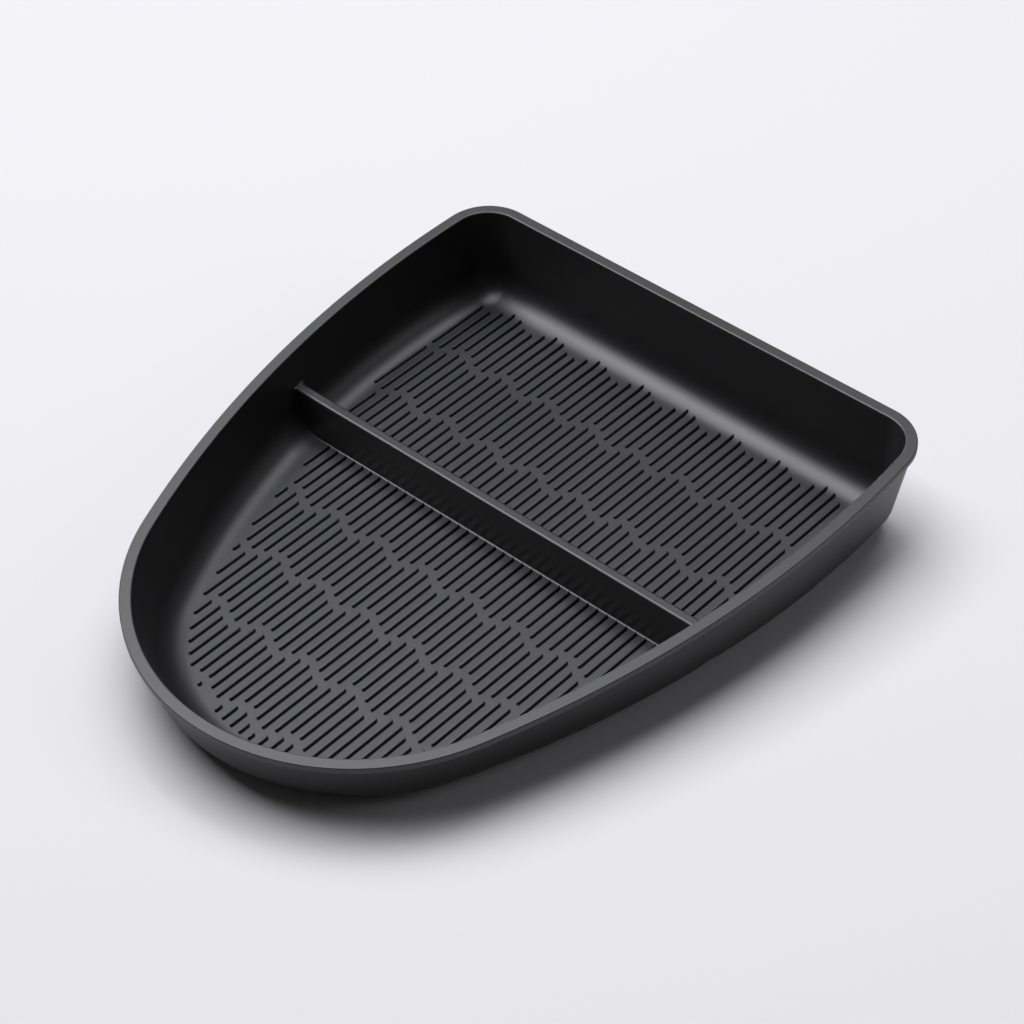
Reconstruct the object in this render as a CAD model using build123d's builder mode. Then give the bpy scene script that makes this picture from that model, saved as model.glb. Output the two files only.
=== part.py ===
from build123d import *

import os
from dataclasses import dataclass
from math import asin, atan2, cos, degrees, pi, radians, sin, sqrt, tan

os.makedirs("parts", exist_ok=True)

# Coin display tray: one deep moulding with two ribbed basins, shaped in plan like a rounded shield.
# X runs across the tray, +Y points to its straight back edge, the nose points to -Y, +Z is up.
# The origin lies on the counter, under the middle of the tray.  All lengths are in millimetres.

# ---- driving dimensions: the rim -------------------------------------------------------------
rim_length = 200.0  # back edge to nose, measured along the sloping rim
rim_width = 166.0  # across the widest line
rim_widest = 38.0  # from the back edge to the widest line
rim_nose_radius = 64.5
rim_corner_radius = 14.5
back_height = 31.0  # rim above the underside, at the back edge
nose_height = 20.0  # rim above the underside, at the nose
rim_land = 3.4  # width of the flat rim
lip_overhang = 1.0  # how far the lip stands out past the wall below it
lip_depth = 2.0

# ---- driving dimensions: walls and floor -----------------------------------------------------
floor_thickness = 2.0
back_lean = 6.5  # floor edge inside the rim, at the back
side_lean = 6.8  # the same at the widest line
nose_lean = 9.5  # the same at the nose
floor_nose_radius = 52.5
floor_corner_radius = 8.3
basin_fillet = 7.4  # between the walls and the floor
base_back_lean = 5.3  # edge of the underside inside the rim, at the back
base_side_lean = 5.6  # the same at the widest line
base_nose_lean = 7.0  # the same at the nose
base_nose_radius = 56.0
base_corner_radius = 9.8
base_bevel = 4.6  # between the walls and the underside
wall_foot_height = 10.0  # drafted foot of the walls, above the underside
wall_foot_draft = 12.0  # degrees
valley_width = 9.0  # shallow groove of the underside, below the divider
valley_depth = 1.2

# ---- driving dimensions: divider -------------------------------------------------------------
divider_back_offset = 88.5  # from the back edge of the rim to the divider's front foot
divider_height = 13.3  # above the floor
divider_top = 2.7  # width of its top face
divider_draft = 0.6  # how far each face leans in from foot to top
divider_edge_fillet = 0.4

# ---- driving dimensions: ribs ----------------------------------------------------------------
rib_pitch = 3.3
rib_width = 1.3
rib_height = 0.75
rib_gap = 2.1  # between the ends of two ribs in one column
rib_shortest = 1.2
wave_columns = 5  # columns of ribs in one wave of the rib ends
wave_height = 2.05
rear_rib_setback = 10.7  # from the back edge of the rim to the first rib ends
rear_row = 24.75  # length of a row in the rear basin
rear_rib_margin = 11.8  # bare strip between the rim's edge and the rear ribs
rear_wave_shift = 5.6
front_first_row = 20.9  # from the divider's foot to the first row break
front_row = 22.6
front_rib_margin = 16.2
front_wave_shift = 9.9
divider_rib_clearance = 0.5

# ---- driving dimensions: feet ----------------------------------------------------------------
foot_diameter = 10.0
foot_standout = 1.0  # below the underside
foot_recess = 0.8
foot_clearance = 0.1  # around the foot, in its recess
rear_foot_inset = 32.0  # from the rim's back edge
rear_foot_spread = 104.0
front_foot_inset = 48.0  # from the nose
front_foot_spread = 60.0

# ---- places that follow ----------------------------------------------------------------------
tilt = asin((back_height - nose_height) / rim_length)
plan_length = rim_length * cos(tilt)
back_y = plan_length / 2
underside_z = foot_standout
floor_z = underside_z + floor_thickness
widest_y = back_y - rim_widest * cos(tilt)
divider_front_y = back_y - divider_back_offset
divider_foot = divider_top + 2 * divider_draft
divider_rear_y = divider_front_y + divider_foot
divider_middle_y = divider_front_y + divider_foot / 2
wall_foot_z = underside_z + wall_foot_height
wall_foot_slope = tan(radians(wall_foot_draft))
rim_plane = Plane(
    origin=(0, back_y, underside_z + back_height),
    x_dir=(1, 0, 0),
    z_dir=(0, -sin(tilt), cos(tilt)),
)


@dataclass
class Outline:
    """A shield-shaped outline of tangent arcs, symmetric about X = 0.

    A straight back edge meets two corner arcs, then two long side arcs, then the nose arc.
    """

    half_width: float
    back: float
    widest: float
    nose: float
    nose_radius: float
    corner_radius: float

    def grown(self, margin: float) -> "Outline":
        """The parallel outline that lies margin outside this one, or inside where negative."""
        return Outline(
            self.half_width + margin,
            self.back + margin,
            self.widest,
            self.nose - margin,
            self.nose_radius + margin,
            self.corner_radius + margin,
        )

    @property
    def nose_centre_y(self) -> float:
        return self.nose + self.nose_radius

    @property
    def side_radius(self) -> float:
        """Radius of the side arc that is widest at the widest line and tangent to the nose arc."""
        drop = self.widest - self.nose_centre_y
        reach = self.half_width - self.nose_radius
        return (self.half_width**2 + drop**2 - self.nose_radius**2) / (2 * reach)

    @property
    def side_centre_x(self) -> float:
        """Centre of the right-hand side arc, which lies left of the middle."""
        return self.half_width - self.side_radius

    @property
    def corner_centre(self) -> tuple[float, float]:
        y = self.back - self.corner_radius
        run = self.side_radius - self.corner_radius
        return self.side_centre_x + sqrt(run**2 - (y - self.widest) ** 2), y

    def front_y(self, x: float) -> float:
        """Where the outline lies at x, on the nose's side of the widest line."""
        nose_angle = atan2(self.nose_centre_y - self.widest, -self.side_centre_x)
        if abs(x) <= self.nose_radius * cos(nose_angle):
            return self.nose_centre_y - sqrt(self.nose_radius**2 - x**2)
        return self.widest - sqrt(self.side_radius**2 - (abs(x) - self.side_centre_x) ** 2)

    def face(self) -> Sketch:
        """The outline as a flat face in its own XY plane."""
        corner_x, corner_y = self.corner_centre
        corner_angle = degrees(atan2(corner_y - self.widest, corner_x - self.side_centre_x))
        nose_angle = degrees(atan2(self.nose_centre_y - self.widest, -self.side_centre_x))
        with BuildSketch() as shield:
            with BuildLine():
                Line((0, self.back), (corner_x, self.back))
                CenterArc((corner_x, corner_y), self.corner_radius, 90, corner_angle - 90)
                CenterArc(
                    (self.side_centre_x, self.widest),
                    self.side_radius,
                    corner_angle,
                    nose_angle - corner_angle,
                )
                CenterArc((0, self.nose_centre_y), self.nose_radius, nose_angle, -90 - nose_angle)
                mirror(about=Plane.YZ)
            make_face()
        return shield.sketch


rim = Outline(rim_width / 2, 0, -rim_widest, -rim_length, rim_nose_radius, rim_corner_radius)
rim_plan = Outline(rim_width / 2, back_y, widest_y, -back_y, rim_nose_radius, rim_corner_radius)
floor = Outline(
    rim_width / 2 - side_lean,
    back_y - back_lean,
    widest_y,
    nose_lean - back_y,
    floor_nose_radius,
    floor_corner_radius,
)
base = Outline(
    rim_width / 2 - base_side_lean,
    back_y - base_back_lean,
    widest_y,
    base_nose_lean - back_y,
    base_nose_radius,
    base_corner_radius,
)


def rib_columns() -> list[float]:
    """X of every column of ribs: half a pitch either side of the middle, and on outwards."""
    count = int(rim_width / 2 / rib_pitch)
    return [(column + 0.5) * rib_pitch for column in range(-count, count)]


def cut_column(breaks: list[float], front: float, back: float) -> list[tuple[float, float]]:
    """Spans of rib in one column, from back to front, with a gap at each break."""
    ends = [back] + [y for y in breaks if front < y < back] + [front]
    spans = []
    for number, (upper, lower) in enumerate(zip(ends, ends[1:])):
        top = upper if number == 0 else upper - rib_gap / 2
        bottom = lower if lower == front else lower + rib_gap / 2
        if top - bottom >= rib_shortest:
            spans.append((bottom, top))
    return spans


def rear_ribs() -> list[tuple[float, float, float]]:
    """Each rib of the rear basin as its x, its front end and its back end."""
    edge = rim_plan.grown(-rear_rib_margin)
    stop = divider_rear_y + divider_rib_clearance
    ribs = []
    for x in rib_columns():
        if abs(x) >= edge.half_width:
            continue
        wave = wave_height * cos(2 * pi * (x - rear_wave_shift) / (wave_columns * rib_pitch))
        back = back_y - rear_rib_setback + wave
        breaks = [back - row * rear_row for row in (1, 2, 3)]
        for front, rear in cut_column(breaks, max(stop, edge.front_y(x)), back):
            ribs.append((x, front, rear))
    return ribs


def front_ribs() -> list[tuple[float, float, float]]:
    """Each rib of the front basin as its x, its front end and its back end."""
    edge = rim_plan.grown(-front_rib_margin)
    start = divider_front_y - divider_rib_clearance
    ribs = []
    for x in rib_columns():
        if abs(x) >= edge.half_width:
            continue
        wave = wave_height * cos(2 * pi * (x - front_wave_shift) / (wave_columns * rib_pitch))
        first = divider_front_y - front_first_row + wave
        breaks = [first - row * front_row for row in (0, 1, 2, 3)]
        for front, rear in cut_column(breaks, edge.front_y(x), start):
            ribs.append((x, front, rear))
    return ribs


def foot_places() -> list[tuple[float, float]]:
    """Centres of the four feet: a wide pair at the back and a narrower pair near the nose."""
    rear = [(side * rear_foot_spread / 2, back_y - rear_foot_inset) for side in (-1, 1)]
    front = [(side * front_foot_spread / 2, front_foot_inset - back_y) for side in (-1, 1)]
    return rear + front


# ---- the hollow of both basins, as a solid that the shell and the divider share ---------------
with BuildPart() as hollow:
    with BuildSketch(Plane.XY.offset(floor_z)):
        add(floor.face())
    extrude(amount=wall_foot_z - floor_z, taper=-wall_foot_draft)
    with BuildSketch(Plane.XY.offset(wall_foot_z)):
        add(floor.grown((wall_foot_z - floor_z) * wall_foot_slope).face())
    with BuildSketch(rim_plane):
        add(rim.grown(-rim_land).face())
    loft(ruled=True)
    fillet(hollow.edges().group_by(Axis.Z)[0], radius=basin_fillet)

# ---- tray shell: rim, walls, floor and ribs in one moulding ------------------------------------
with BuildPart() as tray_shell:
    with BuildSketch(Plane.XY.offset(underside_z)):
        add(base.face())
    extrude(amount=wall_foot_height, taper=-wall_foot_draft)
    with BuildSketch(Plane.XY.offset(wall_foot_z)):
        add(base.grown(wall_foot_height * wall_foot_slope).face())
    with BuildSketch(rim_plane):
        add(rim.grown(-lip_overhang).face())
    loft(ruled=True)
    chamfer(tray_shell.edges().group_by(Axis.Z)[0], length=base_bevel)
    with BuildSketch(rim_plane):
        add(rim.face())
    extrude(amount=-lip_depth)
    add(hollow.part, mode=Mode.SUBTRACT)
    with Locations(Plane.XY.offset(underside_z)):
        with Locations(*foot_places()):
            Cylinder(
                foot_diameter / 2 + foot_clearance,
                foot_recess,
                align=(Align.CENTER, Align.CENTER, Align.MIN),
                mode=Mode.SUBTRACT,
            )
    with BuildSketch(Plane.YZ):
        with BuildLine():
            Polyline(
                (divider_middle_y - valley_width / 2, underside_z),
                (divider_middle_y, underside_z + valley_depth),
                (divider_middle_y + valley_width / 2, underside_z),
                close=True,
            )
        make_face()
    extrude(amount=rim_width / 2, both=True, mode=Mode.SUBTRACT)
    with BuildSketch(Plane.XY.offset(floor_z)):
        for x, front, rear in rear_ribs() + front_ribs():
            with Locations((x, (front + rear) / 2)):
                Rectangle(rib_width, rear - front)
    extrude(amount=rib_height)
tray_shell.part.label = "tray_shell"
export_step(tray_shell.part, "parts/tray_shell.step")

# ---- divider: a drafted wall across the tray, trimmed to the hollow it stands in ---------------
with BuildPart() as divider:
    with BuildSketch(Plane.YZ):
        with BuildLine():
            Polyline(
                (divider_front_y, floor_z),
                (divider_front_y + divider_draft, floor_z + divider_height),
                (divider_rear_y - divider_draft, floor_z + divider_height),
                (divider_rear_y, floor_z),
                close=True,
            )
        make_face()
    extrude(amount=rim_width / 2, both=True)
    fillet(divider.edges().filter_by(Axis.X).group_by(Axis.Z)[-1], radius=divider_edge_fillet)
    add(hollow.part, mode=Mode.INTERSECT)
divider.part.label = "divider"
export_step(divider.part, "parts/divider.step")

# ---- feet: four soft round pads, seated in the recesses of the underside -----------------------
for number, (x, y) in enumerate(foot_places(), start=1):
    with BuildPart(Plane.XY) as foot:
        with Locations((x, y, 0)):
            Cylinder(
                foot_diameter / 2,
                foot_standout + foot_recess,
                align=(Align.CENTER, Align.CENTER, Align.MIN),
            )
        chamfer(foot.edges().group_by(Axis.Z)[0], length=foot_standout / 4)
    foot.part.label = f"foot_{number}"
    export_step(foot.part, f"parts/foot_{number}.step")
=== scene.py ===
"""Dress of the coin display tray: a black satin moulding, its divider, its ribs and its soft feet.

Lengths are in metres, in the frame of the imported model: X runs across the tray, +Y towards its
straight back edge, +Z up from the counter, with the origin under the middle of the tray.
"""

import logging
import math
from dataclasses import dataclass
from enum import Enum

import bpy
import numpy as np
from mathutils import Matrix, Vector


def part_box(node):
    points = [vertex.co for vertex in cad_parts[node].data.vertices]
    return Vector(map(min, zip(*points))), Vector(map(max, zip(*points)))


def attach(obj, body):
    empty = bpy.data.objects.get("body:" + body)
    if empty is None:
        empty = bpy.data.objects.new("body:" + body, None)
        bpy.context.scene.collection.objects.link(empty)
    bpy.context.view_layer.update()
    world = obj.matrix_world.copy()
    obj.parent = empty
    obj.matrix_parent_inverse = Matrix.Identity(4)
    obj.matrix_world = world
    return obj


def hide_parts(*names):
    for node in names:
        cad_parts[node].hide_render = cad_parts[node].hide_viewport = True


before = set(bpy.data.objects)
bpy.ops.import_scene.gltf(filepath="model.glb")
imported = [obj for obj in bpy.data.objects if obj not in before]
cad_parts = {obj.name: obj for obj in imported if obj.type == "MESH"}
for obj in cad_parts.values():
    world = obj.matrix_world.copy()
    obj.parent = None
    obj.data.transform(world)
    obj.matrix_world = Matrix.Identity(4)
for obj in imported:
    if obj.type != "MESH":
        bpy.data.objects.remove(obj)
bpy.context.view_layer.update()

LOG = logging.getLogger("tray")
MM = 0.001


class Slot(Enum):
    """Material slots of the record, named for each piece but not used; the finish is made in this
    script.
    """

    PLASTIC = "tray_plastic"
    RUBBER = "foot_rubber"


class Basin(Enum):
    """The two basins of the tray, either side of the divider."""

    REAR = "rear"
    FRONT = "front"


# ---- finishes ----


@dataclass(frozen=True)
class MouldedFinish:
    """A moulded surface: one colour that drifts a little, over a fine spark-eroded grain.

    Attributes:
        name: name of the material.
        colour: linear base colour.
        drift: share by which the colour rises and falls over the surface.
        roughness: middle of the range that the roughness moves in.
        roughness_drift: half of that range.
        grain: size of the grain, in metres.
        grain_depth: height that the grain stands for, in metres.
        specular: strength of the mirror part of the surface.
        drift_scale: how many cells of the slow noise fit in a metre.
        drift_detail, grain_detail: layers of detail in the slow noise and in the grain.
        drift_band: values of the slow noise that the roughness runs between.
    """

    name: str
    colour: tuple[float, float, float]
    drift: float
    roughness: float
    roughness_drift: float
    grain: float
    grain_depth: float
    specular: float = 0.5
    drift_scale: float = 28.0
    drift_detail: float = 3.0
    grain_detail: float = 2.0
    drift_band: tuple[float, float] = (0.3, 0.7)

    def material(self) -> bpy.types.Material:
        """Makes the node material, on Object coordinates.

        The colour and the roughness follow one slow noise.  The bump follows a fine noise whose
        cells are as large as the grain.

        Returns:
            The new material.
        """
        made = bpy.data.materials.new(self.name)
        made.use_nodes = True
        nodes = made.node_tree.nodes
        link = made.node_tree.links.new
        shader = nodes["Principled BSDF"]
        shader.inputs["Specular IOR Level"].default_value = self.specular
        place = nodes.new("ShaderNodeTexCoord")

        def noise(scale: float, detail: float) -> bpy.types.ShaderNode:
            """A noise on the Object coordinates."""
            node = nodes.new("ShaderNodeTexNoise")
            node.inputs["Scale"].default_value = scale
            node.inputs["Detail"].default_value = detail
            link(place.outputs["Object"], node.inputs["Vector"])
            return node

        slow = noise(self.drift_scale, self.drift_detail)
        tint = nodes.new("ShaderNodeMix")
        tint.data_type = "RGBA"
        tint.inputs["A"].default_value = (*(c * (1 - self.drift) for c in self.colour), 1.0)
        tint.inputs["B"].default_value = (*(c * (1 + self.drift) for c in self.colour), 1.0)
        link(slow.outputs["Fac"], tint.inputs["Factor"])
        link(tint.outputs["Result"], shader.inputs["Base Color"])

        sheen = nodes.new("ShaderNodeMapRange")
        low, high = self.drift_band
        sheen.inputs["From Min"].default_value = low
        sheen.inputs["From Max"].default_value = high
        sheen.inputs["To Min"].default_value = self.roughness - self.roughness_drift
        sheen.inputs["To Max"].default_value = self.roughness + self.roughness_drift
        link(slow.outputs["Fac"], sheen.inputs["Value"])
        link(sheen.outputs["Result"], shader.inputs["Roughness"])

        fine = noise(1.0 / self.grain, self.grain_detail)
        bump = nodes.new("ShaderNodeBump")
        bump.inputs["Distance"].default_value = self.grain_depth
        bump.inputs["Strength"].default_value = 1.0
        link(fine.outputs["Fac"], bump.inputs["Height"])
        link(bump.outputs["Normal"], shader.inputs["Normal"])
        return made


@dataclass(frozen=True)
class StageFinish:
    """The pale paper under the tray, which is plain and takes the tray's shadow.

    Attributes:
        name: name of the material.
        colour: linear colour of the paper.
    """

    name: str
    colour: tuple[float, float, float]

    def material(self) -> bpy.types.Material:
        """Makes the paper's material, a plain matt surface.

        Returns:
            The new material.
        """
        made = bpy.data.materials.new(self.name)
        made.use_nodes = True
        shader = made.node_tree.nodes["Principled BSDF"]
        shader.inputs["Base Color"].default_value = (*self.colour, 1.0)
        shader.inputs["Roughness"].default_value = 1.0
        shader.inputs["Specular IOR Level"].default_value = 0.0
        return made


# ---- meshes from numpy grids ----


def fan_faces(pole: int, ring: np.ndarray) -> np.ndarray:
    """Triangles from one vertex to a closed ring of others.

    Args:
        pole: number of the middle vertex.
        ring: vertex numbers of the ring, in the order that turns the faces outwards.

    Returns:
        An array of vertex numbers, three to a face.
    """
    return np.stack([np.full_like(ring, pole), ring, np.roll(ring, -1)], axis=-1)


def tube_faces(rings: int, count: int, clockwise: bool = False) -> list[np.ndarray]:
    """Faces of a closed tube, whose rings are stored one after the other and then its two poles.

    A quad joins place c of ring r to (r, c + 1), (r + 1, c + 1) and (r + 1, c).  A fan joins the
    first pole to the first ring, and another the second pole to the last ring.

    Args:
        rings: number of rings.
        count: vertices in a ring.
        clockwise: whether the rings run clockwise, seen from beyond the first pole.

    Returns:
        Arrays of vertex numbers for the quads and the two fans, all turned outwards.
    """
    first = np.arange(count)
    last = first + (rings - 1) * count
    near = np.arange(rings - 1)[:, None] * count + first
    far = np.arange(rings - 1)[:, None] * count + (first + 1) % count
    quads = np.stack([near, far, far + count, near + count], axis=-1).reshape(-1, 4)
    pole = rings * count
    if clockwise:
        return [quads, fan_faces(pole, first[::-1]), fan_faces(pole + 1, last)]
    return [quads[:, ::-1], fan_faces(pole, first), fan_faces(pole + 1, last[::-1])]


def new_piece(
    name: str,
    points: np.ndarray,
    faces: list[np.ndarray],
    material: bpy.types.Material,
    slot: Slot,
    replaced: tuple[str, ...],
) -> bpy.types.Object:
    """Makes a smooth mesh object, dresses it and joins it to the tray's body.

    Args:
        name: name of the piece.
        points: vertex places, one row each.
        faces: arrays of vertex numbers, each with its own number of corners to a face.
        material: finish of the whole piece.
        slot: not used.
        replaced: CAD nodes that the piece stands for.

    Returns:
        The new object, at the origin and unscaled.
    """
    mesh = bpy.data.meshes.new(name)
    corners = [face for part in faces for face in part.tolist()]
    mesh.from_pydata(points.reshape(-1, 3).tolist(), [], corners)
    mesh.polygons.foreach_set("use_smooth", np.ones(len(mesh.polygons), dtype=bool))
    mesh.update()
    mesh.materials.append(material)
    piece = bpy.data.objects.new(name, mesh)
    bpy.context.scene.collection.objects.link(piece)
    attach(piece, "root")
    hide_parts(*replaced)
    LOG.info("%s: %d vertices, %d faces", name, len(mesh.vertices), len(mesh.polygons))
    return piece


# ---- the outline ----


@dataclass(frozen=True)
class ShieldOutline:
    """A shield-shaped outline of tangent arcs, symmetric about X = 0.

    A straight back edge meets two corner arcs, then two long side arcs, then the nose arc.

    Attributes:
        half_width: half of the width at the widest line.
        back: Y of the back edge.
        widest: Y of the widest line.
        nose: Y of the nose.
        nose_radius: radius of the nose arc.
        corner_radius: radius of the two back corners.
    """

    half_width: float
    back: float
    widest: float
    nose: float
    nose_radius: float
    corner_radius: float

    @property
    def nose_centre(self) -> float:
        """Y of the nose arc's centre."""
        return self.nose + self.nose_radius

    @property
    def side_radius(self) -> float:
        """Radius of the side arc that is widest at the widest line and tangent to the nose arc."""
        drop = self.widest - self.nose_centre
        reach = self.half_width - self.nose_radius
        return (self.half_width**2 + drop**2 - self.nose_radius**2) / (2 * reach)

    @property
    def side_centre(self) -> float:
        """X of the right-hand side arc's centre, which lies left of the middle."""
        return self.half_width - self.side_radius

    @property
    def corner_centre(self) -> tuple[float, float]:
        """Centre of the right-hand corner arc, tangent to the back edge and the side arc."""
        y = self.back - self.corner_radius
        run = self.side_radius - self.corner_radius
        return self.side_centre + math.sqrt(run**2 - (y - self.widest) ** 2), y

    @property
    def nose_angle(self) -> float:
        """Direction of the normal where the nose arc meets the right-hand side arc."""
        return math.atan2(self.nose_centre - self.widest, -self.side_centre)

    @property
    def corner_angle(self) -> float:
        """Direction of the normal where the right-hand side arc meets the corner arc."""
        x, y = self.corner_centre
        return math.atan2(y - self.widest, x - self.side_centre)

    def grown(self, margin: float) -> "ShieldOutline":
        """The parallel outline that lies margin outside this one, or inside where negative."""
        return ShieldOutline(
            self.half_width + margin,
            self.back + margin,
            self.widest,
            self.nose - margin,
            self.nose_radius + margin,
            self.corner_radius + margin,
        )

    @staticmethod
    def arc(
        x: float, y: float, radius: float, start: float, end: float, count: int
    ) -> np.ndarray:
        """Points of an arc about (x, y), at even angles from start on and without the last."""
        angle = np.linspace(start, end, count, endpoint=False)
        return np.stack([x + radius * np.cos(angle), y + radius * np.sin(angle)], axis=-1)

    def ring(self, steps: "RingSteps") -> np.ndarray:
        """Points round the outline, anticlockwise from the nose.

        Each arc is its centre plus its radius times (cos a, sin a), with the angle a in even
        steps, and the back edge is even steps along a line.

        Args:
            steps: how many points each stretch gets.

        Returns:
            An array of x and y, one row for each point.
        """
        corner_x, corner_y = self.corner_centre
        side_x, side_radius = self.side_centre, self.side_radius
        nose, corner = self.nose_angle, self.corner_angle
        left_nose, left_corner = math.pi - nose, math.pi - corner
        quarter = math.pi / 2
        arc = self.arc
        back_x = np.linspace(corner_x, -corner_x, steps.back, endpoint=False)
        return np.concatenate(
            [
                arc(0.0, self.nose_centre, self.nose_radius, -quarter, nose, steps.nose),
                arc(side_x, self.widest, side_radius, nose, corner, steps.side),
                arc(corner_x, corner_y, self.corner_radius, corner, quarter, steps.corner),
                np.stack([back_x, np.full_like(back_x, self.back)], axis=-1),
                arc(-corner_x, corner_y, self.corner_radius, quarter, left_corner, steps.corner),
                arc(-side_x, self.widest, side_radius, left_corner, left_nose, steps.side),
                arc(0.0, self.nose_centre, self.nose_radius, left_nose, 3 * quarter, steps.nose),
            ]
        )

    def depth(self, x: np.ndarray, y: np.ndarray) -> np.ndarray:
        """How far points lie inside the outline, and less than nothing where they lie outside.

        It is the least of the distances to the back edge, the side arc and, where a point looks
        at them, the nose arc and the corner arc.

        Args:
            x: X of the points.
            y: Y of the points.

        Returns:
            The depths, in an array of the same shape.
        """
        across = np.abs(x)
        corner_x, corner_y = self.corner_centre
        side = self.side_radius - np.hypot(across - self.side_centre, y - self.widest)
        nose = self.nose_radius - np.hypot(across, y - self.nose_centre)
        corner = self.corner_radius - np.hypot(across - corner_x, y - corner_y)
        at_nose = np.arctan2(y - self.widest, across - self.side_centre) < self.nose_angle
        at_corner = (across > corner_x) & (y > corner_y)
        inside = np.minimum(self.back - y, side)
        inside = np.where(at_nose, np.minimum(inside, nose), inside)
        return np.where(at_corner, np.minimum(inside, corner), inside)

    def front_y(self, x: np.ndarray) -> np.ndarray:
        """Y of the outline at x, on the nose's side of the widest line.

        Args:
            x: X of the columns, within the outline's half width.

        Returns:
            The Y of each column: on the nose arc near the middle, on the side arc further out.
        """
        across = np.abs(x)
        on_nose = self.nose_centre - np.sqrt(np.maximum(self.nose_radius**2 - across**2, 0))
        run = np.maximum(self.side_radius**2 - (across - self.side_centre) ** 2, 0)
        on_side = self.widest - np.sqrt(run)
        return np.where(across <= self.nose_radius * math.cos(self.nose_angle), on_nose, on_side)


@dataclass(frozen=True)
class RingSteps:
    """How many points each stretch of an outline gets."""

    nose: int = 56
    side: int = 96
    corner: int = 28
    back: int = 56


# ---- the tray's form ----


@dataclass
class TrayForm:
    """The tray's driving sizes, and the outlines and surfaces that follow from them.

    Attributes:
        rim_length: back edge to nose, along the sloping rim.
        rim_width: width at the widest line.
        rim_widest: from the back edge to the widest line, along the rim.
        nose_radius: radius of the rim's nose.
        corner_radius: radius of the rim's back corners.
        back_height: rim above the underside, at the back.
        nose_height: rim above the underside, at the nose.
        underside: Z of the underside, above the counter.
        floor_thickness: underside to floor.
        rim_land: width of the flat rim.
        lip_overhang: how far the lip stands out past the wall.
        lip_depth: height of the lip's outer face.
        back_lean, side_lean, nose_lean: floor edge inside the rim, at those places.
        floor_nose_radius, floor_corner_radius: radii of the floor's outline.
        base_back_lean, base_side_lean, base_nose_lean: edge of the underside inside the rim.
        base_nose_radius, base_corner_radius: radii of the underside's outline.
        basin_fillet, base_fillet: radii between walls and floor, and walls and underside.
        divider_offset: from the rim's back edge to the divider's front foot.
        divider_foot: thickness of the divider at its foot.
    """

    rim_length: float = 200 * MM
    rim_width: float = 166 * MM
    rim_widest: float = 38 * MM
    nose_radius: float = 64.5 * MM
    corner_radius: float = 14.5 * MM
    back_height: float = 31 * MM
    nose_height: float = 20 * MM
    underside: float = 1 * MM
    floor_thickness: float = 2 * MM
    rim_land: float = 3.4 * MM
    lip_overhang: float = 1 * MM
    lip_depth: float = 2 * MM
    back_lean: float = 4.3 * MM
    side_lean: float = 5.2 * MM
    nose_lean: float = 9.7 * MM
    floor_nose_radius: float = 51.5 * MM
    floor_corner_radius: float = 8.9 * MM
    base_back_lean: float = 5.0 * MM
    base_side_lean: float = 5.4 * MM
    base_nose_lean: float = 6.4 * MM
    base_nose_radius: float = 56 * MM
    base_corner_radius: float = 10.5 * MM
    basin_fillet: float = 8.5 * MM
    base_fillet: float = 9.5 * MM
    divider_offset: float = 88.5 * MM
    divider_foot: float = 3.9 * MM

    @property
    def tilt(self) -> float:
        """Slope of the rim, which rises towards the back."""
        return math.asin((self.back_height - self.nose_height) / self.rim_length)

    @property
    def back_y(self) -> float:
        """Y of the rim's back edge."""
        return self.rim_length * math.cos(self.tilt) / 2

    @property
    def widest_y(self) -> float:
        """Y of the widest line."""
        return self.back_y - self.rim_widest * math.cos(self.tilt)

    @property
    def floor_z(self) -> float:
        """Z of both floors."""
        return self.underside + self.floor_thickness

    @property
    def divider_front(self) -> float:
        """Y of the divider's front foot."""
        return self.back_y - self.divider_offset

    @property
    def divider_middle(self) -> float:
        """Y of the divider's middle."""
        return self.divider_front + self.divider_foot / 2

    @property
    def rim(self) -> ShieldOutline:
        """The rim's outline in its own sloping plane, with the back edge at y = 0."""
        radii = self.nose_radius, self.corner_radius
        return ShieldOutline(self.rim_width / 2, 0.0, -self.rim_widest, -self.rim_length, *radii)

    def plan(
        self, back: float, side: float, nose: float, nose_radius: float, corner_radius: float
    ) -> ShieldOutline:
        """An outline seen from above, inside the rim by its leans at back, sides and nose."""
        half, front = self.rim_width / 2 - side, nose - self.back_y
        return ShieldOutline(
            half, self.back_y - back, self.widest_y, front, nose_radius, corner_radius
        )

    @property
    def rim_plan(self) -> ShieldOutline:
        """The rim's outline seen from above."""
        return self.plan(0.0, 0.0, 0.0, self.nose_radius, self.corner_radius)

    @property
    def floor(self) -> ShieldOutline:
        """The outline where the walls would meet the floor without the fillet."""
        leans = self.back_lean, self.side_lean, self.nose_lean
        return self.plan(*leans, self.floor_nose_radius, self.floor_corner_radius)

    @property
    def base(self) -> ShieldOutline:
        """The outline where the walls would meet the underside without the fillet."""
        leans = self.base_back_lean, self.base_side_lean, self.base_nose_lean
        return self.plan(*leans, self.base_nose_radius, self.base_corner_radius)

    def on_rim(self, outline: np.ndarray, height: float) -> np.ndarray:
        """Carries points of the rim's own plane into the tray's frame.

        A point goes to the plane's origin, plus its x across, plus its y up the slope, plus the
        height along the plane's normal.

        Args:
            outline: x and y in the rim's plane.
            height: distance above that plane.

        Returns:
            The points in space.
        """
        x, y = outline[:, 0], outline[:, 1]
        rise, run = math.sin(self.tilt), math.cos(self.tilt)
        up = self.underside + self.back_height + y * rise + height * run
        return np.stack([x, self.back_y + y * run - height * rise, up], axis=-1)

    def wall_lean(self) -> float:
        """Angle between the side wall and the vertical, at the divider."""
        y = self.divider_front
        rim_height = self.underside + self.back_height - self.divider_offset * math.tan(self.tilt)
        top = self.side_x(self.rim_plan.grown(-self.rim_land), y)
        return math.atan2(top - self.side_x(self.floor, y), rim_height - self.floor_z)

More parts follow.
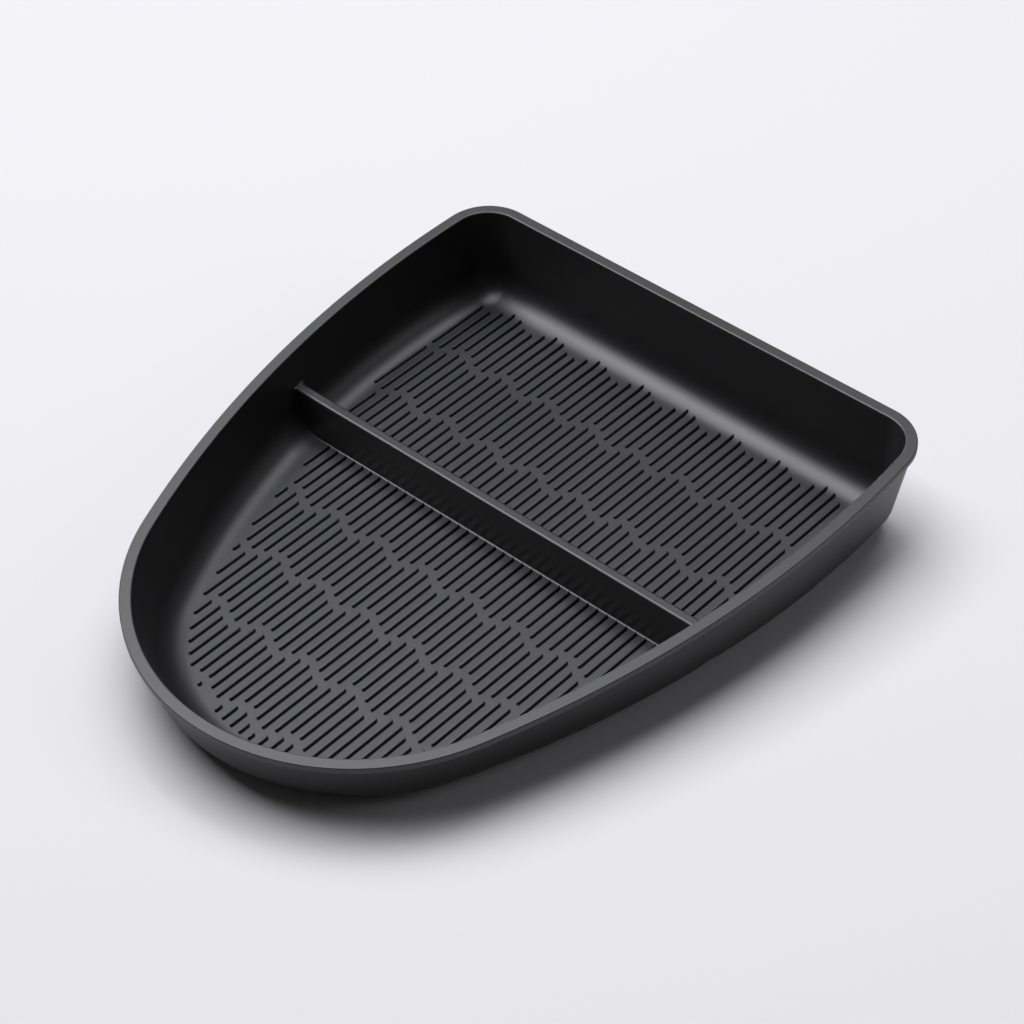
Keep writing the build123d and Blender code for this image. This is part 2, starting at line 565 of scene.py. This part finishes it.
    @staticmethod
    def side_x(outline: ShieldOutline, y: float) -> float:
        """X of an outline's right-hand side arc at a given y."""
        return outline.side_centre + math.sqrt(outline.side_radius**2 - (y - outline.widest) ** 2)

    def basin_height(self, x: np.ndarray, y: np.ndarray, lean: float) -> np.ndarray:
        """Z of the basin's surface: floor, then fillet arc, then leaning wall.

        With d the distance outside the flat part of the floor, the fillet stands r minus the root
        of r squared less d squared above it.  Past the angle where the arc meets the wall, the
        height grows by one over the tangent of the lean.

        Args:
            x: X of the points.
            y: Y of the points.
            lean: angle between the wall and the vertical.

        Returns:
            The heights, in an array of the same shape.
        """
        radius = self.basin_fillet
        flat = self.floor.grown(-radius * math.tan((math.pi / 2 - lean) / 2))
        out = np.maximum(-flat.depth(x, y), 0)
        meet = radius * math.cos(lean)
        arc = radius - np.sqrt(radius**2 - np.minimum(out, meet) ** 2)
        return self.floor_z + arc + np.maximum(out - meet, 0) / math.tan(lean)


# ---- the shell ----


@dataclass
class TrayShell:
    """The moulded shell: two floors, the walls inside and out, the rim with its lip, the underside.

    Attributes:
        form: the tray's sizes.
        finish: material of the moulding.
        steps: points round each ring.
        inner_edge: radius of the rim's inner edge.
        outer_edge: radius of the lip's upper outer edge.
        lip_root: radius of the lip's lower outer edge.
        edge_start: angle at which the inner edge's round starts.
        edge_foot: depth of the ring under that round, in radii of the edge.
        wall_end: depth at which the inner wall ends, in radii of the edge.
        hold, lip_hold, root_hold: from the ends of the rim's land, of the lip's outer face and
            of its lower face to the rings that hold those faces flat.
        fillet_steps: rings of a fillet.
        climb: heights of a wall's rings, as shares of the way up from the fillet.
        floor_shares: sizes of the floor's rings, as shares of its edge.
        sole_shares: the same for the underside, whose rings carry the valley.
        valley_depth: how far the underside rises under the divider.
        valley_reach: half of the valley's width.
    """

    form: TrayForm
    finish: bpy.types.Material
    steps: RingSteps = RingSteps()
    inner_edge: float = 0.5 * MM
    outer_edge: float = 0.3 * MM
    lip_root: float = 0.2 * MM
    edge_start: float = 0.12
    edge_foot: float = 1.15
    wall_end: float = 1.5
    hold: float = 0.08 * MM
    lip_hold: float = 0.05 * MM
    root_hold: float = 0.1 * MM
    fillet_steps: int = 13
    climb: tuple[float, ...] = (0.02, 0.15, 0.35, 0.6, 0.85, 0.97)
    floor_shares: tuple[float, ...] = (0.3, 0.6, 0.9, 0.99)
    sole_shares: tuple[float, ...] = (0.01, *np.linspace(0.04, 0.93, 18), 0.99)
    valley_depth: float = 1.2 * MM
    valley_reach: float = 4.5 * MM

    @staticmethod
    def fillet_rings(
        corner: np.ndarray, flat: np.ndarray, wall: np.ndarray, radius: float, count: int
    ) -> list[np.ndarray]:
        """Rings of a rolling-ball fillet between a level face and a leaning wall.

        With w the unit vector up the wall and f the unit vector in along the level face, the ball
        touches both at its radius over the tangent of half their angle.  The rings lie on the arc
        between the two touching points: at the share s of the arc's sweep, a ring is the ball's
        centre, plus sin((1 - s) sweep) times the first arm, plus sin(s sweep) times the second
        arm, over sin(sweep).

        Args:
            corner: where wall and face would meet, one row for each point of the ring.
            flat: unit vectors along the level face, away from the wall.
            wall: unit vectors up the wall.
            radius: radius of the fillet.
            count: number of rings.

        Returns:
            The rings, from the level face to the wall.
        """
        opening = np.arccos(np.sum(flat * wall, axis=1, keepdims=True))
        reach = radius / np.tan(opening / 2)
        middle = flat + wall
        middle /= np.linalg.norm(middle, axis=1, keepdims=True)
        centre = corner + middle * radius / np.sin(opening / 2)
        start = corner + flat * reach - centre
        end = corner + wall * reach - centre
        sweep = math.pi - opening
        rings = []
        for share in np.linspace(0, 1, count):
            arm = np.sin((1 - share) * sweep) * start + np.sin(share * sweep) * end
            rings.append(centre + arm / np.sin(sweep))
        return rings

    @staticmethod
    def inward(ring: np.ndarray) -> np.ndarray:
        """Level unit vectors that point into a ring that runs anticlockwise."""
        along = np.roll(ring, -1, axis=0) - np.roll(ring, 1, axis=0)
        across = np.stack([-along[:, 1], along[:, 0], np.zeros(len(ring))], axis=-1)
        return across / np.linalg.norm(across, axis=1, keepdims=True)

    def face_rings(
        self,
        level: np.ndarray,
        top: np.ndarray,
        radius: float,
        middle_y: float,
        shares: tuple[float, ...],
    ) -> list[np.ndarray]:
        """Rings of one side of the moulding: its level face, its fillet and its wall.

        A ring of the level face is the fillet's first ring, shrunk to its share about the middle.
        A ring of the wall stands at its share of the way from the fillet's last ring to the top.

        Args:
            level: ring where the wall would meet the level face.
            top: ring where the wall ends under the rim.
            radius: radius of the fillet between the two.
            middle_y: Y of the point on the centre line that the level face's rings close in on.
            shares: size of each ring of the level face, as a share of the fillet's first ring.

        Returns:
            Rings from the middle of the level face to just under the top ring.
        """
        wall = top - level
        wall_unit = wall / np.linalg.norm(wall, axis=1, keepdims=True)
        along = np.roll(level, -1, axis=0) - np.roll(level, 1, axis=0)
        along /= np.linalg.norm(along, axis=1, keepdims=True)
        square = wall_unit - along * np.sum(wall_unit * along, axis=1, keepdims=True)
        square /= np.linalg.norm(square, axis=1, keepdims=True)
        fillet = self.fillet_rings(level, self.inward(level), square, radius, self.fillet_steps)
        middle = np.array([0.0, middle_y, level[0, 2]])
        spread = [middle + (fillet[0] - middle) * share for share in shares]
        climb = [fillet[-1] + (top - fillet[-1]) * share for share in self.climb]
        return spread + fillet + climb

    def rim_rings(self) -> list[np.ndarray]:
        """Rings of the rim, from the inner wall over the land and round the lip.

        Each edge is a quarter turn of rings at even angles a.  A ring lies at the edge's radius
        times (1 - cos a) from the face that the turn leaves, and at the radius times (1 - sin a)
        from the face that it comes to.  The flats between are held by a ring near each edge.

        Returns:
            The rings, from the inner wall to the root of the lip.
        """
        form = self.form

        def ring(inset: float, height: float) -> np.ndarray:
            """The rim's outline, moved in and then up."""
            return form.on_rim(form.rim.grown(-inset).ring(self.steps), height)

        def quarter(start: float, count: int) -> list[tuple[float, float]]:
            """Pairs of (1 - cos a, 1 - sin a), at even angles a from start to a quarter turn."""
            angles = np.linspace(start, math.pi / 2, count)
            return [(1 - math.cos(angle), 1 - math.sin(angle)) for angle in angles]

        land, bottom = form.rim_land, -form.lip_depth
        inner, outer, lower = self.inner_edge, self.outer_edge, self.lip_root
        rings = [ring(land, -inner * self.edge_foot)]
        rings += [ring(land - inner * p, -inner * q) for p, q in quarter(self.edge_start, 6)]
        rings += [ring(land - inner - self.hold, 0), ring(outer + self.hold, 0)]
        rings += [ring(outer * q, -outer * p) for p, q in quarter(0, 5)]
        rings += [ring(0, -outer - self.lip_hold), ring(0, bottom + lower + self.lip_hold)]
        rings += [ring(lower * p, bottom + lower * q) for p, q in quarter(0, 4)]
        rings.append(ring(form.lip_overhang - self.root_hold, bottom))
        return rings

    def valley(self, ring: np.ndarray) -> np.ndarray:
        """Lifts a ring of the underside into the shallow valley under the divider.

        The lift is the valley's depth times the cosine bell of the distance from the divider's
        middle.  It fades with the height of the ring, and is gone at the top of the fillet.

        Args:
            ring: points of the ring.

        Returns:
            The ring with its points lifted.
        """
        form = self.form
        offset = np.abs(ring[:, 1] - form.divider_middle) / self.valley_reach
        bell = 0.5 + 0.5 * np.cos(math.pi * np.clip(offset, 0, 1))
        fade = np.clip(1 - (ring[:, 2] - form.underside) / form.base_fillet, 0, 1)
        moved = ring.copy()
        moved[:, 2] += self.valley_depth * bell * fade
        return moved

    def build(self) -> bpy.types.Object:
        """Makes the shell as one closed grid of rings, with a pole on the floor and on the sole.

        The inner wall ends below the round of the rim's edge, so that its rings don't cross those
        of the round.

        Returns:
            The shell.
        """
        form = self.form
        floor = form.floor.ring(self.steps)
        level = np.column_stack([floor, np.full(len(floor), form.floor_z)])
        base = form.base.ring(self.steps)
        under = np.column_stack([base, np.full(len(base), form.underside)])
        inner_outline = form.rim.grown(-form.rim_land).ring(self.steps)
        inner_top = form.on_rim(inner_outline, -self.wall_end * self.inner_edge)
        root = form.on_rim(form.rim.grown(-form.lip_overhang).ring(self.steps), -form.lip_depth)

        inside = self.face_rings(level, inner_top, form.basin_fillet, 0.0, self.floor_shares)
        middle_y, shares = form.divider_middle, self.sole_shares
        outside = self.face_rings(under, root, form.base_fillet, middle_y, shares)
        outside = [self.valley(ring) for ring in outside]
        rings = inside + self.rim_rings() + [root] + outside[::-1]

        floor_pole = inside[0].mean(axis=0, keepdims=True)
        sole_pole = self.valley(np.array([[0.0, form.divider_middle, form.underside]]))
        points = np.concatenate([*rings, floor_pole, sole_pole])
        faces = tube_faces(len(rings), len(floor))
        return new_piece("shell", points, faces, self.finish, Slot.PLASTIC, ("tray_shell",))


# ---- the ribs ----


@dataclass
class RibField:
    """The low ribs of one basin, in rows whose ends follow a wave from column to column.

    Attributes:
        form: the tray's sizes.
        finish: material of the moulding.
        basin: which basin the ribs stand in.
        margin: bare strip between the rim's edge and the ribs.
        wave_shift: X of a crest of the wave, before the offset.
        row: length of a row, with the gap behind it.
        first: from the divider to the front basin's first break.
        pitch: distance between columns.
        offset: how far the columns stand to the right of their even places.
        width: width of a rib on the floor.
        height: height of a rib above the floor.
        crown: width of its rounded top.
        edge: height of the rounding.
        shoulder: the rounding's middle, across in half crowns and down in heights of the rounding.
        level_top: half width of the level top, in half crowns.
        end_shares: shares of an end's roundness at which its rings stand.
        sunk: how far its foot reaches into the floor.
        gap: distance between the ends of two ribs in one column.
        shortest: ribs below this length are left out.
        wave_columns: columns in one wave.
        wave_height: how far the wave moves the ends to either side.
        setback: from the rim's back edge to the line that the rear rows are counted from.
        bare: from that line to the rear ribs' first ends.
        clearance: bare strip along the divider's foot.
    """

    form: TrayForm
    finish: bpy.types.Material
    basin: Basin
    margin: float
    wave_shift: float
    row: float
    first: float = 0.0
    pitch: float = 3.3 * MM
    offset: float = 0.6 * MM
    width: float = 1.2 * MM
    crown: float = 0.6 * MM
    height: float = 0.85 * MM
    edge: float = 0.3 * MM
    shoulder: tuple[float, float] = (0.82, 0.28)
    level_top: float = 0.4
    end_shares: tuple[float, ...] = (0.75, 0.0)
    sunk: float = 0.15 * MM
    gap: float = 2.6 * MM
    shortest: float = 1.2 * MM
    wave_columns: int = 5
    wave_height: float = 2.05 * MM
    setback: float = 10.95 * MM
    bare: float = 1.2 * MM
    clearance: float = 0.8 * MM

    def spans(self) -> np.ndarray:
        """Works out every rib as its x, its front end and its back end.

        The columns stand at half a pitch from the middle and on outwards, and all of them are then
        moved by the offset.  A column's breaks lie at the first break less whole rows, all moved
        by the wave: its height times the cosine of the column's place in the wave.  A span
        between two breaks loses half a gap at each, and is cut off by the margin along the rim.

        Returns:
            One row for each rib.
        """
        form = self.form
        bound = form.rim_plan.grown(-self.margin)
        count = int(bound.half_width / self.pitch + 0.5)
        x = (np.arange(-count, count) + 0.5) * self.pitch
        wave_length = self.wave_columns * self.pitch
        wave = self.wave_height * np.cos(2 * math.pi * (x - self.wave_shift) / wave_length)
        x = x + self.offset
        within = np.abs(x) < bound.half_width
        x, wave = x[within], wave[within]
        limit = bound.front_y(x)
        if self.basin is Basin.REAR:
            start = form.back_y - self.setback + wave
            breaks = [start + self.gap / 2 - self.bare] + [start - self.row * n for n in (1, 2, 3)]
            limit = np.maximum(limit, form.divider_front + form.divider_foot + self.clearance)
        else:
            start = np.full_like(x, form.divider_front - self.clearance)
            first = form.divider_front - self.first + wave
            breaks = [start + self.gap / 2] + [first - self.row * n for n in range(5)]
        ribs = []
        for upper, lower in zip(breaks, breaks[1:]):
            back = upper - self.gap / 2
            front = np.maximum(lower + self.gap / 2, limit)
            kept = back - front >= self.shortest
            ribs.append(np.stack([x, front, back], axis=-1)[kept])
        return np.concatenate(ribs)

    def build(self) -> bpy.types.Object:
        """Makes all ribs of the basin as one mesh of small closed shapes with the same section.

        A rib is a row of rings between two tips.  A ring at the share e of the end's roundness
        stands half a width times (1 - e) from the tip, and its points keep the root of
        (1 - e squared) of their places across.  Round a ring the points climb one sloping side,
        round its upper edge, cross the crown and go down the other side.  The feet are sunk into
        the floor.

        Returns:
            The ribs of this basin.
        """
        ribs = self.spans()
        half, crown, edge = self.width / 2, self.crown / 2, self.edge
        slope = (half - crown) / (self.height - edge)
        out, down = self.shoulder
        side = np.array([half + self.sunk * slope, crown, out * crown, self.level_top * crown])
        level = np.array([-self.sunk, self.height - edge, self.height - down * edge, self.height])
        across = np.concatenate([side, -side[::-1]])
        upright = np.concatenate([level, level[::-1]])
        ends = np.array(self.end_shares)
        taper = np.sqrt(1 - np.concatenate([ends, ends[::-1]]) ** 2)

        x, front, back = ribs.T
        near = front[:, None] + half * (1 - ends)
        far = back[:, None] - half * (1 - ends[::-1])
        along = np.concatenate([near, far], axis=1)
        rings = np.zeros((len(ribs), len(taper), len(across), 3))
        rings[..., 0] = x[:, None, None] + taper[:, None] * across
        rings[..., 1] = along[:, :, None]
        rings[..., 2] = self.form.floor_z + upright
        tips = np.zeros((len(ribs), 2, 3))
        tips[:, :, 0] = x[:, None]
        tips[:, 0, 1] = front
        tips[:, 1, 1] = back
        tips[:, :, 2] = self.form.floor_z + self.height / 2
        points = np.concatenate([rings.reshape(len(ribs), -1, 3), tips], axis=1)

        start = (np.arange(len(ribs)) * points.shape[1])[:, None, None]
        one_rib = tube_faces(len(taper), len(across))
        faces = [(part + start).reshape(-1, part.shape[1]) for part in one_rib]
        name = f"{self.basin.value}_ribs"
        return new_piece(name, points, faces, self.finish, Slot.PLASTIC, ("tray_shell",))


# ---- the divider ----


@dataclass
class DividerWall:
    """The wall between the basins, which grows out of floor and side walls with small fillets.

    Attributes:
        form: the tray's sizes.
        finish: material of the moulding.
        height: above the floor.
        top_width: width of the top face.
        draft: how far each face leans in from foot to top.
        edge: radius of the top edges.
        foot_fillet: radius along the floor.
        end_fillet: radius at the side walls.
        low_rise: heights of a face's lower points, as shares of the way up to the top edge.
        sunk: how far the foot reaches into the basin's surface.
        crown_hold: from a top edge's round to the points that hold the flat top.
        least_face: height of the faces where the basin's surface meets the top.
        end_depth: from the divider's top down to the basin's surface at its last station.
        samples: points at which the basin's surface is measured, from the middle to the side.
        flat_stations, curve_stations: stations of one half, on the flat floor and past it.
    """

    form: TrayForm
    finish: bpy.types.Material
    height: float = 13.3 * MM
    top_width: float = 3.2 * MM
    draft: float = 0.35 * MM
    edge: float = 0.7 * MM
    foot_fillet: float = 0.6 * MM
    end_fillet: float = 1.3 * MM
    low_rise: tuple[float, ...] = (0, 0.004, 0.011, 0.02, 0.03, 0.045, 0.07, 0.12)
    sunk: float = 0.2 * MM
    crown_hold: float = 0.06 * MM
    least_face: float = 0.02 * MM
    end_depth: float = 0.05 * MM
    samples: int = 12001
    flat_stations: int = 24
    curve_stations: int = 34

    def stations(self, middle: float) -> tuple[np.ndarray, np.ndarray, np.ndarray]:
        """Places along the divider, close together where the basin curves up to the side walls.

        On the right half, even stations cross the flat floor.  Past it they lie at (sin a) to the
        power of 0.9 of the way to the end, with even angles a.  The left half mirrors them.

        Args:
            middle: Y of the divider's middle.

        Returns:
            X of the stations, the basin's height there and the cosine of its slope.
        """
        form = self.form
        lean = form.wall_lean()
        fine = np.linspace(0, form.rim_width / 2, self.samples)
        surface = form.basin_height(fine, np.full_like(fine, middle), lean)
        top = form.floor_z + self.height
        end = np.interp(top - self.end_depth, surface, fine)
        flat = fine[np.argmax(surface > form.floor_z + 1e-7)]
        angle = np.linspace(0, math.pi / 2, self.curve_stations)
        curve = flat + (end - flat) * np.sin(angle) ** 0.9
        half = np.concatenate([np.linspace(0, flat, self.flat_stations, endpoint=False), curve])
        x = np.concatenate([-half[:0:-1], half])
        height = np.interp(np.abs(x), fine, surface)
        slope = np.interp(np.abs(x), fine, np.gradient(surface, fine))
        return x, height, 1 / np.hypot(1, slope)

    def build(self) -> bpy.types.Object:
        """Makes the divider as a closed profile carried along the stations.

        At each station the two faces rise from the basin's surface to the top.  A face point at
        the distance d from that surface, less than the fillet's radius r, moves out by r less the
        root of r squared less (r - d) squared.

        Returns:
            The divider.
        """
        form = self.form
        middle = form.divider_middle
        x, surface, flatness = self.stations(middle)
        top = form.floor_z + self.height
        radius = self.end_fillet + (self.foot_fillet - self.end_fillet) * flatness

        rise = np.concatenate([self.low_rise, np.linspace(0.2, 0.96, 6), [1.0]])
        room = np.maximum(top - self.edge - surface, self.least_face)
        face_z = surface[:, None] + room[:, None] * rise
        distance = (face_z - surface[:, None]) * flatness[:, None]
        short = np.maximum(radius[:, None] - distance, 0)
        flare = radius[:, None] - np.sqrt(radius[:, None] ** 2 - short**2)
        share = (top - face_z) / self.height
        face_y = self.top_width / 2 + self.draft * share + flare

        turn = np.linspace(0, math.pi / 2, 6)[1:]
        edge_z = face_z[:, -1:] + self.edge * np.sin(turn)
        edge_y = face_y[:, -1:] - self.edge * (1 - np.cos(turn))
        crown_z = edge_z[:, -1:]
        crown_y = edge_y[:, -1:] - self.crown_hold
        sole_z = face_z[:, :1] - self.sunk
        half_z = np.concatenate([sole_z, face_z, edge_z, crown_z], axis=1)
        half_y = np.concatenate([face_y[:, :1], face_y, edge_y, crown_y], axis=1)
        profile_z = np.concatenate([half_z, half_z[:, ::-1]], axis=1)
        profile_y = np.concatenate([middle - half_y, middle + half_y[:, ::-1]], axis=1)
        profile_x = np.broadcast_to(x[:, None], profile_z.shape)
        rings = np.stack([profile_x, profile_y, profile_z], axis=-1)
        ends = np.stack([rings[0].mean(axis=0), rings[-1].mean(axis=0)])
        points = np.concatenate([rings.reshape(-1, 3), ends])
        faces = tube_faces(*rings.shape[:2])
        return new_piece("divider_wall", points, faces, self.finish, Slot.PLASTIC, ("divider",))


# ---- the feet ----


@dataclass
class SoftFoot:
    """One soft foot: a round pad with a rounded rim and a slightly dished sole.

    Attributes:
        node: the CAD node that it stands for.
        finish: material of the foot.
        rim_round: radius of the lower rim.
        dish: how far the middle of the sole is drawn up.
        hold: from the upper edge to the points that keep it sharp.
        sole_shares: radii of the sole's rings, as shares of the foot's radius.
        top_share: radius of the ring on the foot's top, as such a share.
        turns: steps of the profile round the axis.
    """

    node: str
    finish: bpy.types.Material
    rim_round: float = 0.4 * MM
    dish: float = 0.15 * MM
    hold: float = 0.05 * MM
    sole_shares: tuple[float, ...] = (0.35, 0.7, 0.88)
    top_share: float = 0.5
    turns: int = 48

    def build(self) -> bpy.types.Object:
        """Turns the foot's profile about its own upright axis.

        A profile point at radius q and height z goes to q times (cos a, sin a) round the axis, at
        even angles a.  The sole is drawn up by the dish times (1 - (q over the radius) to the
        power of four).  The axis and the sizes come from the node's box.

        Returns:
            The foot.
        """
        low, high = (np.array(corner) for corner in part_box(self.node))
        centre = (low + high) / 2
        radius = (high[0] - low[0]) / 2
        turn = np.linspace(0, math.pi / 2, 6)
        round_reach = radius - self.rim_round * (1 - np.sin(turn))
        round_height = low[2] + self.rim_round * (1 - np.cos(turn))
        inner = np.array(self.sole_shares) * radius
        dish = low[2] + self.dish * (1 - (inner / radius) ** 4)
        upper_reach = [radius, radius - self.hold, radius * self.top_share]
        upper_height = [high[2] - self.hold, high[2], high[2]]
        reach = np.concatenate([inner, round_reach, upper_reach])
        height = np.concatenate([dish, round_height, upper_height])
        angle = np.linspace(0, 2 * math.pi, self.turns, endpoint=False)
        rings = np.stack(
            [
                centre[0] + reach[:, None] * np.cos(angle),
                centre[1] + reach[:, None] * np.sin(angle),
                np.broadcast_to(height[:, None], (len(reach), len(angle))),
            ],
            axis=-1,
        )
        poles = np.array([[*centre[:2], low[2] + self.dish], [*centre[:2], high[2]]])
        points = np.concatenate([rings.reshape(-1, 3), poles])
        faces = tube_faces(len(reach), len(angle), clockwise=True)
        return new_piece(f"pad_{self.node}", points, faces, self.finish, Slot.RUBBER, (self.node,))


# ---- the studio ----


@dataclass
class SoftBox:
    """A square lamp that looks at the tray.

    Attributes:
        name: name of the lamp.
        azimuth: degrees from +X towards +Y, seen from the tray.
        elevation: degrees above the counter.
        distance: from the tray's middle.
        size: side of the lamp.
        power: in watts.
        colour: linear colour of the light.
        only_tray: whether a flag keeps the light off the paper.
    """

    name: str
    azimuth: float
    elevation: float
    distance: float
    size: float
    power: float
    colour: tuple[float, float, float] = (0.985, 0.985, 1.03)
    only_tray: bool = False

    def build(self, tray: bpy.types.Collection) -> bpy.types.Object:
        """Places the lamp on its sphere about the tray and turns it to the tray.

        Args:
            tray: the pieces of the tray, which a lamp may be kept to.

        Returns:
            The lamp.
        """
        data = bpy.data.lights.new(self.name, "AREA")
        data.size = self.size
        data.energy = self.power
        data.color = self.colour
        lamp = bpy.data.objects.new(self.name, data)
        heading, up = math.radians(self.azimuth), math.radians(self.elevation)
        level = math.cos(up)
        out = np.array([level * math.cos(heading), level * math.sin(heading), math.sin(up)])
        lamp.location = tuple(out * self.distance)
        lamp.rotation_euler = (math.pi / 2 - up, 0, heading + math.pi / 2)
        if self.only_tray:
            lamp.light_linking.receiver_collection = tray
        bpy.context.scene.collection.objects.link(lamp)
        return lamp


@dataclass
class Studio:
    """The pale sweep, the lamps, the sky and the camera.

    Attributes:
        paper: finish of the sweep.
        lamps: the soft boxes.
        pieces: the pieces of the tray.
        sky: linear colour of the light from all round.
        sky_strength: its strength.
        azimuth: heading that the camera looks along, from +Y towards -X.
        elevation: of the camera above the tray, in degrees.
        distance: from the camera to its target.
        target: point that the camera looks at.
        lens: focal length, in millimetres.
        sensor: width of the sensor, in millimetres.
        reach: half of the sweep's side.
    """

    paper: bpy.types.Material
    lamps: tuple[SoftBox, ...]
    pieces: tuple[bpy.types.Object, ...]
    sky: tuple[float, float, float] = (0.96, 0.965, 1.0)
    sky_strength: float = 0.05
    azimuth: float = 41.446
    elevation: float = 42.590
    distance: float = 0.72974
    target: tuple[float, float, float] = (0.013108, 0.005036, 0.026741)
    lens: float = 97.83
    sensor: float = 36.0
    reach: float = 3.0

    def build(self) -> None:
        """Makes the sweep, the lamps, the sky and the camera."""
        tray = bpy.data.collections.new("tray pieces")
        for piece in self.pieces:
            tray.objects.link(piece)
        self.sweep()
        for lamp in self.lamps:
            lamp.build(tray)
        self.world()
        self.camera()
        bpy.context.scene.view_settings.view_transform = "Standard"

    def sweep(self) -> None:
        """Lays the pale paper under the tray, as one large level square."""
        far = self.reach
        corners = [(-far, -far, 0), (far, -far, 0), (far, far, 0), (-far, far, 0)]
        mesh = bpy.data.meshes.new("paper")
        mesh.from_pydata(corners, [], [(0, 1, 2, 3)])
        mesh.materials.append(self.paper)
        paper = bpy.data.objects.new("paper", mesh)
        bpy.context.scene.collection.objects.link(paper)

    def world(self) -> None:
        """Lights the scene softly from every side."""
        world = bpy.data.worlds.new("studio")
        world.use_nodes = True
        sky = world.node_tree.nodes["Background"]
        sky.inputs["Color"].default_value = (*self.sky, 1.0)
        sky.inputs["Strength"].default_value = self.sky_strength
        bpy.context.scene.world = world

    def camera(self) -> None:
        """Stands the camera off from its target, along its heading and elevation."""
        data = bpy.data.cameras.new("camera")
        data.lens = self.lens
        data.sensor_width = self.sensor
        camera = bpy.data.objects.new("camera", data)
        heading, up = math.radians(self.azimuth), math.radians(self.elevation)
        level = math.cos(up)
        back = np.array([math.sin(heading) * level, -math.cos(heading) * level, math.sin(up)])
        camera.location = tuple(np.array(self.target) + back * self.distance)
        camera.rotation_euler = (math.pi / 2 - up, 0, heading)
        bpy.context.scene.collection.objects.link(camera)
        bpy.context.scene.camera = camera


def main() -> None:
    """Builds the tray's pieces in order, then the studio round it."""
    logging.basicConfig(level=logging.INFO, format="%(name)s: %(message)s")
    plastic = MouldedFinish(
        name="satin black moulding",
        colour=(0.0088, 0.0089, 0.0094),
        drift=0.08,
        roughness=0.40,
        roughness_drift=0.02,
        grain=0.25 * MM,
        grain_depth=0.006 * MM,
    ).material()
    rubber = MouldedFinish(
        name="soft black rubber",
        colour=(0.010, 0.010, 0.010),
        drift=0.15,
        roughness=0.75,
        roughness_drift=0.05,
        grain=0.4 * MM,
        grain_depth=0.02 * MM,
        specular=0.3,
    ).material()

    form = TrayForm()
    rear = RibField(
        form, plastic, Basin.REAR, margin=11.8 * MM, wave_shift=5.6 * MM, row=24.75 * MM
    )
    front = RibField(
        form, plastic, Basin.FRONT, margin=16.4 * MM, wave_shift=9.9 * MM, row=22.6 * MM,
        first=21.15 * MM,
    )
    feet = [SoftFoot(f"foot_{number}", rubber) for number in range(1, 5)]
    parts = [TrayShell(form, plastic), rear, front, DividerWall(form, plastic), *feet]
    pieces = tuple(part.build() for part in parts)

    paper = StageFinish("pale paper", (0.58, 0.575, 0.58)).material()
    lamps = (
        SoftBox("key", azimuth=177, elevation=71, distance=1.8, size=1.45, power=46),
        SoftBox("back", azimuth=97, elevation=62, distance=1.4, size=0.6, power=6),
        SoftBox("right", azimuth=34, elevation=34, distance=1.4, size=0.6, power=1.8),
        SoftBox("left", azimuth=150, elevation=14, distance=1.2, size=0.4, power=4, only_tray=True),
        SoftBox(
            "front left", azimuth=213, elevation=47, distance=1.2, size=0.65, power=9, only_tray=True
        ),
    )
    Studio(paper, lamps, pieces).build()


if __name__ == "__main__":
    main()
